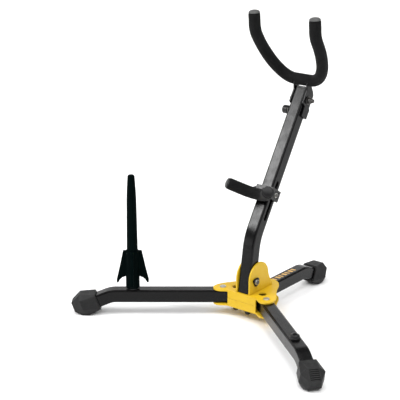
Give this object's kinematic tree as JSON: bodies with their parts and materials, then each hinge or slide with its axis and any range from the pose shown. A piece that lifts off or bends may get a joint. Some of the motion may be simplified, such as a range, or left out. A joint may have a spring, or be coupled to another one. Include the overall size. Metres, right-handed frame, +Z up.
{
  "type": "saxophone stand",
  "caption": "Folding floor stand for a saxophone: swinging legs on a yellow hub, leaning upright, padded yoke and lower rest, screw-in clarinet peg.",
  "frame": {"origin": "centre of the bounding box on the floor, under the hub", "axes": "+Z up, +Y towards the rear leg, front of the stand towards -Y, +X towards the leg with the plugged socket"},
  "size_m": [0.4544, 0.3649, 0.4518],
  "materials": {
    "yellow": "yellow satin powder coat",
    "black_paint": "satin black powder coat",
    "rubber": "moulded dark grey rubber, fine texture",
    "foam": "matt black closed-cell foam",
    "cap_grey": "grey moulded plastic",
    "black_plastic": "black moulded plastic",
    "peg_plastic": "very dark matt plastic",
    "steel": "bright zinc plated steel",
    "dark_steel": "blackened steel"
  },
  "bodies": {
    "hub": {"hub_top_plate": "yellow", "hub_bottom_plate": "yellow", "hub_spacer": "steel", "hub_centre_bolt": "dark_steel", "hub_centre_nut": "black_plastic", "upright_bracket": "yellow", "bracket_rivet_left": "steel", "bracket_rivet_right": "steel", "leg_rear_tube": "black_paint", "leg_rear_foot": "rubber", "rear_leg_rivet_front": "steel", "rear_leg_rivet_back": "steel", "detent_bush_left": "dark_steel", "detent_bush_right": "dark_steel", "upright_pivot_bolt": "dark_steel", "upright_nut_seat": "black_plastic", "upright_pivot_nut": "steel"},
    "leg_left": {"leg_left_tube": "black_paint", "leg_left_foot": "rubber", "leg_left_pivot_rivet": "steel", "peg_socket_left": "black_plastic"},
    "leg_right": {"leg_right_tube": "black_paint", "leg_right_foot": "rubber", "leg_right_pivot_rivet": "steel", "peg_socket_right": "black_plastic"},
    "detent_left": {"detent_pin_left": "steel", "detent_knob_left": "black_plastic"},
    "detent_right": {"detent_pin_right": "steel", "detent_knob_right": "black_plastic"},
    "upright": {"upright_tube": "black_paint", "upright_end_cap": "black_plastic", "upright_pivot_sleeve": "steel", "yoke_pivot_bolt": "dark_steel", "yoke_pivot_washer": "dark_steel", "yoke_pivot_nut": "dark_steel"},
    "yoke": {"yoke_bracket": "black_paint", "yoke_bar": "black_paint", "yoke_foam": "foam", "yoke_cap_left": "cap_grey", "yoke_cap_right": "cap_grey", "yoke_detent_bush": "dark_steel"},
    "yoke_detent": {"yoke_detent_pin": "steel", "yoke_detent_knob": "black_plastic"},
    "rest": {"rest_clamp": "black_plastic", "rest_bar": "black_paint", "rest_foam": "foam", "rest_cap_left": "black_plastic", "rest_cap_right": "black_plastic", "rest_clamp_bolt": "dark_steel", "rest_clamp_nut": "steel"},
    "rest_knob": {"rest_clamp_knob": "black_plastic"},
    "peg": {"peg_stud": "steel", "peg_base": "peg_plastic", "peg_cone": "peg_plastic"},
    "plug": {"socket_plug": "black_plastic"}
  },
  "joints": [
    {"name": "leg_left_swing", "type": "hinge", "parent": "hub", "child": "leg_left", "pos_m": [-0.0404, -0.03332, 0.03], "axis": [0, 0, 1], "range_deg": [0, 52]},
    {"name": "leg_right_swing", "type": "hinge", "parent": "hub", "child": "leg_right", "pos_m": [0.0404, -0.03332, 0.03], "axis": [0, 0, 1], "range_deg": [-52, 0]},
    {"name": "detent_left_pull", "type": "slide", "parent": "hub", "child": "detent_left", "axis": [0, 0, -1], "range_m": [0, 0.004], "stiffness_N_per_m": 900, "springref_m": -0.003},
    {"name": "detent_right_pull", "type": "slide", "parent": "hub", "child": "detent_right", "axis": [0, 0, -1], "range_m": [0, 0.004], "stiffness_N_per_m": 900, "springref_m": -0.003},
    {"name": "upright_fold", "type": "hinge", "parent": "hub", "child": "upright", "pos_m": [0, -0.02442, 0.061], "axis": [-1, 0, 0], "range_deg": [0, 60]},
    {"name": "yoke_fold", "type": "hinge", "parent": "upright", "child": "yoke", "pos_m": [0, 0.10666, 0.31437], "axis": [1, 0, 0], "range_deg": [0, 90]},
    {"name": "yoke_detent_pull", "type": "slide", "parent": "yoke", "child": "yoke_detent", "axis": [-1, 0, 0], "range_m": [0, 0.004], "stiffness_N_per_m": 900, "springref_m": -0.003},
    {"name": "rest_slide", "type": "slide", "parent": "upright", "child": "rest", "axis": [0, 0.5388, 0.8425], "range_m": [-0.038, 0.018]},
    {"name": "rest_knob_turn", "type": "hinge", "parent": "rest", "child": "rest_knob", "pos_m": [0, 0.02369, 0.18463], "axis": [1, 0, 0], "continuous": true},
    {"name": "peg_lift", "type": "slide", "parent": "leg_left", "child": "peg", "axis": [0, 0, 1], "range_m": [0, 0.02]},
    {"name": "plug_lift", "type": "slide", "parent": "leg_right", "child": "plug", "axis": [0, 0, 1], "range_m": [0, 0.015]}
  ]
}
